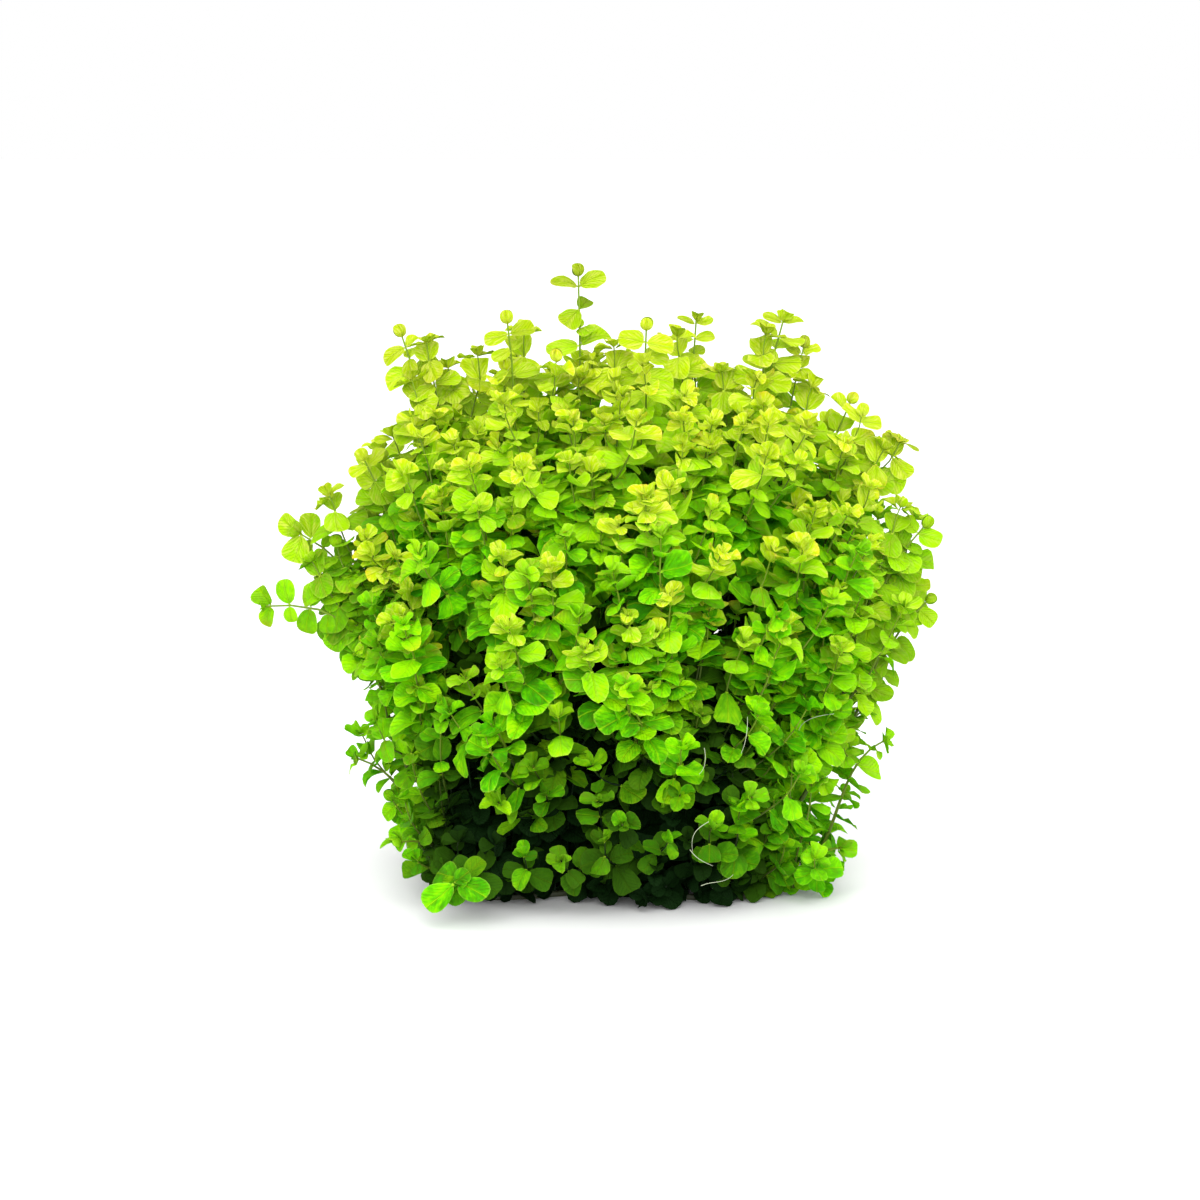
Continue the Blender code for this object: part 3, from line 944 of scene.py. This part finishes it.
# heights here are shares of "tall", and "rank" is a twig's own
tones = {
    "tall": 250 * mm,
    "dull": (0.0, 0.35),        # how golden a twig's tip is: most twigs
    "golden": (0.7, 1.25),      # some of them
    "goldenShare": 0.42,
    "standing": (0.9, 1.25),    # and those that stand out at the front
    "usual": 0.55,              # what it tends to high up, between these heights
    "usualHeights": (0.62, 0.85),
    "youngDepth": 13 * mm,
    "youngHeights": (0.28, 0.7),
    # painted light: how much paler and more golden leaves are painted, by height
    "lit": ((0.66, 0.80, 0.95, 1.02, 1.1), (0.0, 0.42, 0.65, 0.50, 0.42)),
    "beside": 0.26,             # the sunny sides, and their heights
    "besideHeights": ((0.02, 0.26), (0.7, 0.9)),
    # greener low down; the rise in the topmost leaves, which get the most light, is painted shade
    "green": ((0.08, 0.2, 0.55, 0.78, 0.95, 1.0, 1.1), (0.62, 0.44, 0.32, 0.14, 0.03, 0.12, 0.28)),
    # painted shade: how much greener and darker leaves further in are painted, by height
    "innerGreen": ((0.5, 0.66, 1.0), (0.60, 0.24, 0.14)),
    "leftGreen": 0.60,
    "greenSpread": (0.12, 0.17),        # from twig to twig, and from leaf to leaf
    "blushShare": 0.24,
    "blush": (0.1, 0.8),
    "blushDepth": 18 * mm,
    # painted shade for leaves that stand alone, by height, and for twigs that show
    "alone": ((0.7, 0.8, 0.93, 1.06), (0.0, 0.10, 0.17, 0.40)),
    "clear": 0.28,
    "shadeShare": {-1: 1.3, 0: 1.1, 1: 0.72, 2: 0.5},
}


def tintLeaves(leaves, rank):
    # Four numbers for each leaf: how young it is, with painted light added high up and at the sunny sides;
    # how green, with painted shade added further in and in the topmost leaves; how much it blushes; and
    # how much painted shade darkens it
    count = len(leaves["size"])
    middle = leaves["base"] + 0.5 * leaves["size"][:, None] * leaves["along"]
    inside = depthInside(middle)
    height = middle[:, 2] / tones["tall"]
    share = tones["goldenShare"]
    golds = [rng.uniform(*tones[key]) for key in ("dull", "golden")]
    gold = rng.choice(golds, p=[1 - share, share])
    gold = max(gold, rng.uniform(*tones["standing"]) * (rank == 2))
    usual = smoothStep(height, *tones["usualHeights"]) * (rank < 2)
    gold = gold + (tones["usual"] - gold) * usual
    gold = np.minimum(gold, 1.3 - 0.9 * leaves["clear"])
    young = np.exp(-((leaves["depth"] / tones["youngDepth"]) ** 1.5)) * gold
    young = young * (0.1 + 0.9 * smoothStep(height, *tones["youngHeights"]))
    # painted light: leaves high up and near the outside are painted paler and more golden
    lit = np.interp(height, *tones["lit"])
    young = young + lit * (0.45 + 0.55 * smoothStep(inside, 0.75, 1.0))
    # painted light: leaves at the outer sides are painted more golden, less so on the left
    beside = smoothStep(np.abs(fromMiddle(middle)[:, 0]), 0.72, 1.02)
    leftSide = smoothStep(-middle[:, 0], 20 * mm, 110 * mm) * smoothStep(-height, -0.85, -0.45)
    fromLow, toHigh = tones["besideHeights"]
    sunny = smoothStep(height, *fromLow) * (1 - smoothStep(height, *toHigh)) * (1 - 0.6 * leftSide)
    young = young + tones["beside"] * beside * sunny
    green = np.interp(height, *tones["green"])
    twigSpread, leafSpread = tones["greenSpread"]
    green = green + (tones["leftGreen"] - green) * 0.8 * leftSide
    green = green + rng.normal(0, twigSpread) + rng.normal(0, leafSpread, count)
    # painted shade: leaves further in are painted a darker green
    green = green + np.interp(height, *tones["innerGreen"]) * (1 - smoothStep(inside, 0.6, 1.0))
    blush = (rng.random(count) < tones["blushShare"]) * rng.uniform(*tones["blush"], count)
    blush = blush * np.exp(-leaves["depth"] / tones["blushDepth"]) * smoothStep(height, 0.3, 0.5)
    # painted shade: leaves that stand alone get more light than the rest, so their colour is painted
    # darker to make up for it
    alone = np.interp(height, *tones["alone"])
    alone = np.maximum(alone, tones["clear"] * leaves["clear"] * smoothStep(height, 0.2, 0.4))
    # painted shade: how dark the leaf is painted, from its place in the clump, its twig's rank and
    # standing alone
    share = tones["shadeShare"][int(rank)]
    dark = np.clip(darkness(middle) * share + alone + rng.normal(0, 0.06, count), 0, 1)
    return np.stack([np.clip(young, 0, 1), np.clip(green, 0, 1), blush, dark], axis=1)


# Meshes from arrays


def makePiece(name, points, faces, material, uv=None, tint=None):
    # points and a list of face arrays, each array holding faces of one size, become one mesh object
    mesh = bpy.data.meshes.new(name)
    corners = np.concatenate([group.ravel() for group in faces])
    sizes = np.concatenate([np.full(len(group), group.shape[1]) for group in faces])
    mesh.vertices.add(len(points))
    mesh.vertices.foreach_set("co", points.astype(np.float32).ravel())
    mesh.loops.add(len(corners))
    mesh.loops.foreach_set("vertex_index", corners.astype(np.int32))
    mesh.polygons.add(len(sizes))
    mesh.polygons.foreach_set("loop_start", (np.cumsum(sizes) - sizes).astype(np.int32))
    mesh.update(calc_edges=True)
    mesh.set_sharp_from_angle(angle=math.radians(65))
    if uv is not None:
        layer = mesh.uv_layers.new(name="grain")
        layer.data.foreach_set("uv", uv[corners].astype(np.float32).ravel())
    if tint is not None:
        layer = mesh.attributes.new("tint", "FLOAT_COLOR", "POINT")
        layer.data.foreach_set("color", tint.astype(np.float32).ravel())
    mesh.materials.append(material)
    return added(name, mesh)


def leafArrays(template, leaves, tint):
    # The template repeated for every leaf: points, faces grouped by size, grain and tint
    points = leafPoints(template, leaves)
    count, each = points.shape[:2]
    shift = each * np.arange(count)
    faces = []
    for size in sorted({len(face) for face in template["faces"]}):
        group = np.array([face for face in template["faces"] if len(face) == size])
        faces.append((group[None] + shift[:, None, None]).reshape(-1, size))
    w = np.sin(template["turn"])
    uv = np.stack([template["x"], 0.5 + 0.5 * template["v"] * w], axis=1)
    return points.reshape(-1, 3), faces, np.tile(uv, (count, 1)), np.repeat(tint, each, axis=0)


def leafPiece(name, leaves, tint, material):
    # Leaves near the outside are detailed and the others plain
    clear = leaves["clear"] > 0.5
    outer = depthInside(leaves["base"]) > leafShape["detailed"]
    made = []
    faces = []
    shift = 0
    for template, chosen in ((clearLeaf, clear), (fineLeaf, outer & ~clear), (plainLeaf, ~outer & ~clear)):
        if chosen.any():
            group = {key: values[chosen] for key, values in leaves.items()}
            points, groupFaces, grain, shade = leafArrays(template, group, tint[chosen])
            made.append((points, grain, shade))
            faces += [some + shift for some in groupFaces]
            shift += len(points)
    points, grains, tints = [np.concatenate(arrays) for arrays in zip(*made)]
    return makePiece(name, points, faces, material, grains, tints)


def tubeArrays(lines, radii, sides):
    # Rings of points round each line: two directions across the line, turned by cosine and sine.
    # lines is tubes by rings by 3 and radii tubes by rings. Every end is capped.
    tubes, rings = lines.shape[:2]
    ahead = np.empty_like(lines)
    ahead[:, 1:-1] = lines[:, 2:] - lines[:, :-2]
    ahead[:, 0] = lines[:, 1] - lines[:, 0]
    ahead[:, -1] = lines[:, -1] - lines[:, -2]
    ahead = unit(ahead)
    chord = unit(lines[:, -1] - lines[:, 0])
    flat = np.cross(chord, [0.31, 0.17, 0.94])
    across = unit(flat)[:, None] - (unit(flat)[:, None] * ahead).sum(-1, keepdims=True) * ahead
    across = unit(across)
    other = np.cross(ahead, across)
    turn = np.arange(sides) * 2 * np.pi / sides
    offsets = across[:, :, None] * np.cos(turn)[:, None] + other[:, :, None] * np.sin(turn)[:, None]
    points = lines[:, :, None] + radii[:, :, None, None] * offsets
    index = np.arange(tubes * rings * sides).reshape(tubes, rings, sides)
    after = np.roll(index, -1, axis=2)
    quads = np.stack([index[:, :-1], after[:, :-1], after[:, 1:], index[:, 1:]], axis=-1)
    caps = np.concatenate([index[:, 0, ::-1], index[:, -1]])
    along = np.broadcast_to(np.linspace(0, 1, rings)[None, :, None], index.shape)
    around = np.broadcast_to(turn[None, None] / (2 * np.pi), index.shape)
    uv = np.stack([along, around], axis=-1).reshape(-1, 2)
    return points.reshape(-1, 3), [quads.reshape(-1, 4), caps], uv


print("a leaf has", [len(template["faces"]) for template in (clearLeaf, fineLeaf, plainLeaf)], "faces")

# Materials

leafPaint = {
    # the pale young colour, which also stands for painted sheen on the upper leaves
    "paleAndSheen": (0.86, 0.84, 0.15),
    "lemon": (0.62, 0.74, 0.005),
    "lime": (0.37, 0.78, 0.002),
    "fresh": (0.19, 0.62, 0.002),
    "green": (0.065, 0.39, 0.002),
    "moss": (0.026, 0.19, 0.003),
    # painted shade: the two colours that leaves deep in the clump are darkened towards
    "shade": (0.031, 0.088, 0.003),
    "deep": (0.003, 0.012, 0.002),
    "blush": (0.88, 0.40, 0.03),
    "vein": (0.60, 0.84, 0.012),
    "glow": (0.25, 0.78, 0.002),
    "youngGlow": (0.56, 0.84, 0.002),
    "glowShare": 0.45,
    "greenStops": (0.0, 0.35, 0.68, 1.0),   # where lime, fresh, green and moss stand
    "mottle": (420.0, 3.0),     # scale and detail of the fine spots and of the wide clouds
    "cloud": (130.0, 2.0),
    "ribs": (6.5, 7.0),         # how many side veins, and how far they run up the blade
    "fan": (9.0, 2.2),          # how fine the streaks are across and along
    "roughness": 0.65,
    "specular": 0.02,
    "relief": 1.1 * mm,
}


def leafMaterial():
    material, wire, shader = newMaterial("leaf", {"Specular IOR Level": leafPaint["specular"]})
    tint = wire.add("ShaderNodeAttribute", {"attribute_name": "tint"}, (), "Color")
    young, green, blush = [wire.add("ShaderNodeSeparateColor", (), {0: tint}, n) for n in range(3)]
    dark = wire.add("ShaderNodeAttribute", {"attribute_name": "tint"}, (), "Alpha")
    grain = wire.add("ShaderNodeUVMap", {"uv_map": "grain"})
    u, v = [wire.add("ShaderNodeSeparateXYZ", (), {0: grain}, n) for n in range(2)]
    place = wire.add("ShaderNodeTexCoord", (), (), "Object")
    offAxis = (v - 0.5).shaped("ABSOLUTE")
    # the midrib, and side veins that leave it and curve towards the tip
    midrib = 1 - offAxis.between(0.004, 0.035)
    often, rising = leafPaint["ribs"]
    ribs = ((u * often - offAxis * rising) * math.pi).shaped("SINE").shaped("ABSOLUTE")
    ribs = (1 - ribs.between(0.0, 0.3)) * offAxis.between(0.0, 0.06)
    veins = (midrib * 0.6 + ribs * 0.35) * (1 - offAxis.between(0.30, 0.5))
    mottle = place.noise(*leafPaint["mottle"])
    cloud = place.noise(*leafPaint["cloud"])
    # how near the blade's rim: 1 on the ellipse that the grain's map makes of the outline
    blade = (u - leafShape["stalkShare"]) * (2 / (1 - leafShape["stalkShare"])) - 1
    rim = (blade * blade + offAxis * offAxis * 4.0).between(0.80, 1.0)
    # streaks that fan out from the foot of the blade, different on each leaf
    around, outwards = leafPaint["fan"]
    fan = wire.maths("ARCTAN2", offAxis, u + 0.05) * (v - 0.5).shaped("SIGN")
    inputs = {0: fan * around, 1: u * outwards, 2: green * 60.0}
    streak = wire.add("ShaderNodeCombineXYZ", (), inputs).noise(1.0, 2.0)
    # greener and darker towards the blade's foot: partly the leaf's own colour, partly painted shade from
    # the pair above
    foot = 1 - u.between(0.05, 0.5)
    greener = green + foot * 0.22 + (cloud - 0.5) * 1.1 + (mottle - 0.5) + (streak - 0.5) * 1.1
    greens = [leafPaint[key] for key in ("lime", "fresh", "green", "moss")]
    stops = list(zip(leafPaint["greenStops"], greens))
    colour = wire.add("ShaderNodeValToRGB", {"stops": stops}, {0: greener.clipped()})
    # lemon by the tint's first number, which holds both youth and painted light
    younger = (young * (0.2 + cloud * 0.9 + streak * 0.8) + (mottle - 0.5) * 0.4).clipped()
    colour = mixed(younger, colour, leafPaint["lemon"])
    # pale streaks on young leaves, partly their own colour and partly painted sheen, and a pale rim
    sheenAndPale = (young * streak.between(0.42, 0.68) * 0.9 + rim * (0.17 + young * 0.35)).clipped()
    colour = mixed(sheenAndPale, colour, leafPaint["paleAndSheen"])
    warm = (blush * (u.between(0.45, 1.0) * 0.6 + rim * 0.7) * (0.3 + cloud)).clipped()
    colour = mixed(warm, colour, leafPaint["blush"])
    colour = mixed((veins * 0.6).clipped(), colour, leafPaint["vein"])
    # painted shade: the tint's alpha darkens the leaf towards shade and then deep
    colour = mixed(dark.between(0.0, 0.75), colour, leafPaint["shade"])
    colour = mixed(dark.between(0.40, 1.0), colour, leafPaint["deep"])
    colour.feed(shader, "Base Color")
    rough = leafPaint["roughness"] + (mottle - 0.5) * 0.16
    rough.feed(shader, "Roughness")
    height = veins * -0.8 + mottle * 0.7 + cloud * 1.4
    inputs = {"Strength": 0.9, "Distance": leafPaint["relief"], "Height": height}
    wire.add("ShaderNodeBump", (), inputs).feed(shader, "Normal")
    # the light that comes through: one constant colour for grown leaves and one for young ones
    glows = [(*leafPaint[key], 1.0) for key in ("glow", "youngGlow")]
    grown, fresh = [wire.add("ShaderNodeBsdfTranslucent", (), {"Color": glow}) for glow in glows]
    through = wire.add("ShaderNodeMixShader", (), {0: young.clipped(), 1: grown, 2: fresh})
    # less light comes through where painted shade darkens the leaf
    share = (1 - dark) * leafPaint["glowShare"]
    front = Wire(wire.tree, shader.outputs[0])
    both = wire.add("ShaderNodeMixShader", (), {0: share, 1: front, 2: through})
    both.feed(wire.tree.nodes["Material Output"], "Surface")
    return material


# each kind of stem has a young and an old colour
stemPaint = {
    "twig": ((0.15, 0.25, 0.010), (0.07, 0.11, 0.012)),
    "stem": ((0.12, 0.20, 0.03), (0.04, 0.06, 0.015)),
    "runner": ((0.04, 0.05, 0.015), (0.012, 0.016, 0.006)),
    "streak": (120.0, 3.0),     # scale and detail of the streaks, the grain and the runners' patches
    "fine": (900.0, 2.0),
    "patches": (140.0, 4.0),
    "roughness": 0.5,
    "runnerRoughness": 0.6,
    "specular": 0.1,
    "relief": 0.3 * mm,
}


def stemMaterial(name):
    material, wire, shader = newMaterial(name, {"Specular IOR Level": stemPaint["specular"]})
    young, old = stemPaint[name]
    place = wire.add("ShaderNodeTexCoord", (), (), "Object")
    streak = place.noise(*stemPaint["streak"])
    fine = place.noise(*stemPaint["fine"])
    grain = wire.add("ShaderNodeUVMap", {"uv_map": "grain"})
    along = wire.add("ShaderNodeSeparateXYZ", (), {0: grain}, 0)
    share = (along * 0.7 + (streak - 0.5) * 0.9).clipped()
    colour = mixed(share, old, young)
    # painted shade: twigs and stems deep in the clump are darkened towards the deep colour
    dark = wire.add("ShaderNodeAttribute", {"attribute_name": "tint"}, (), "Alpha")
    colour = mixed(dark.between(0.0, 0.7), colour, leafPaint["deep"])
    colour.feed(shader, "Base Color")
    rough = stemPaint["roughness"] + (fine - 0.5) * 0.2
    rough.feed(shader, "Roughness")
    inputs = {"Strength": 0.3, "Distance": stemPaint["relief"], "Height": fine}
    wire.add("ShaderNodeBump", (), inputs).feed(shader, "Normal")
    return material


def runnerMaterial():
    material, wire, shader = newMaterial("runner", {"Roughness": stemPaint["runnerRoughness"]})
    young, old = stemPaint["runner"]
    place = wire.add("ShaderNodeTexCoord", (), (), "Object")
    mixed(place.noise(*stemPaint["patches"]), old, young).feed(shader, "Base Color")
    return material


leafGreen = leafMaterial()
twigGreen = stemMaterial("twig")
stemOlive = stemMaterial("stem")
runnerBrown = runnerMaterial()
print("materials are made")

# Pieces


def ringRadii(thin, thick, rings):
    # Taper from thick at the start to thin at the tip
    return thick + (thin - thick) * np.linspace(0, 1, rings) ** 1.2


def shadeTint(points):
    # A colour layer whose alpha is the painted shade at each point
    return np.stack([np.zeros(len(points))] * 3 + [darkness(points)], axis=1)


wood = {
    "rings": 11,
    "main": (1.0 * mm, 0.42 * mm),      # a shoot's radius at its root and at its tip
    "twig": (0.62 * mm, 0.30 * mm),
    "short": 3.4 * mm,      # how far it stops below the tip, inside the bud
}


def makeShoot(number):
    name = shootNames[number]
    sets = []
    tints = []
    lines = []
    radii = []
    for path, isMain, shows, rank in branches[number]:
        thick, thin = wood["main" if isMain else "twig"]
        pose = poses.get(number, ()) if isMain else ()
        shows = shows or len(pose) > 0
        ball = (number not in openBuds) if len(pose) else None
        leaves = placeLeaves(path, isMain, shows, rank, pose, ball)
        sets.append(leaves)
        tints.append(tintLeaves(leaves, rank))
        end = lengthsAlong(path)[-1] - wood["short"]
        lines.append(atLengths(path, np.linspace(0, end, wood["rings"])))
        radii.append(ringRadii(thin, thick, wood["rings"]))
    leaves = {key: np.concatenate([one[key] for one in sets]) for key in sets[0]}
    foliage = leafPiece(f"leaves_{name}", leaves, np.concatenate(tints), leafGreen)
    points, faces, uv = tubeArrays(np.array(lines), np.array(radii), 5)
    stalks = makePiece(f"twigs_{name}", points, faces, twigGreen, uv, shadeTint(points))
    for piece, slot in ((foliage, "leaf"), (stalks, "stem")):
        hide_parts(name)
        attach(piece, "root")
    return len(leaves["size"])


total = sum(makeShoot(number) for number in range(len(shoots)))
meshes = [piece.data for piece in bpy.data.objects if piece.type == "MESH"]
triangles = sum(len(mesh.loops) - 2 * len(mesh.polygons) for mesh in meshes)
print(f"{total} leaves, {triangles} triangles")


def makeStems():
    rings = 24
    for number, path in enumerate(stems, start=1):
        line = atLengths(path, np.linspace(0, lengthsAlong(path)[-1], rings))
        radii = np.linspace(clump["stemRadius"], clump["stemTopRadius"], rings)
        points, faces, uv = tubeArrays(line[None], radii[None], 10)
        piece = makePiece(f"bare_stem_{number:02d}", points, faces, stemOlive, uv, shadeTint(points))
        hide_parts(f"stem_{number:02d}")
        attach(piece, "root")
    for row in range(len(clump["runnerRows"])):
        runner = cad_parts[f"runner_{row + 1}"].data
        runner.materials.clear()
        runner.materials.append(runnerBrown)


makeStems()

roots = {
    "colour": (0.38, 0.42, 0.29),
    "roughness": 0.5,
    "radius": 0.13 * mm,
    # the four control points of each fine white root, in millimetres
    "curves": (
        ((47, -103, 47), (41, -105, 44), (39, -106, 42), (40, -104, 34)),
        ((45, -101, 79), (46, -105, 74), (45, -107, 70), (42, -106, 68)),
        ((64, -92, 91), (64, -96, 86), (63, -98, 80), (61, -98, 76)),
        ((104, -56, 86), (92, -62, 86), (88, -64, 83), (88, -62, 78)),
        ((44, -96, 17), (49, -98, 20), (54, -98, 18), (58, -96, 22)),
        ((39, -100, 34), (42, -102, 30), (45, -102, 29), (49, -101, 27)),
    ),
}


def makeRoots():
    # Thin pale tubes that hang from the lower twigs
    rings = 14
    lines = [bezier(*(np.array(curve, float) * mm), rings) for curve in roots["curves"]]
    radii = [ringRadii(0.5 * roots["radius"], roots["radius"], rings)] * len(lines)
    points, faces, uv = tubeArrays(np.array(lines), np.array(radii), 5)
    paint = {"Base Color": (*roots["colour"], 1.0), "Roughness": roots["roughness"]}
    piece = makePiece("aerial_roots", points, faces, newMaterial("root", paint)[0], uv)
    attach(piece, "root")


makeRoots()
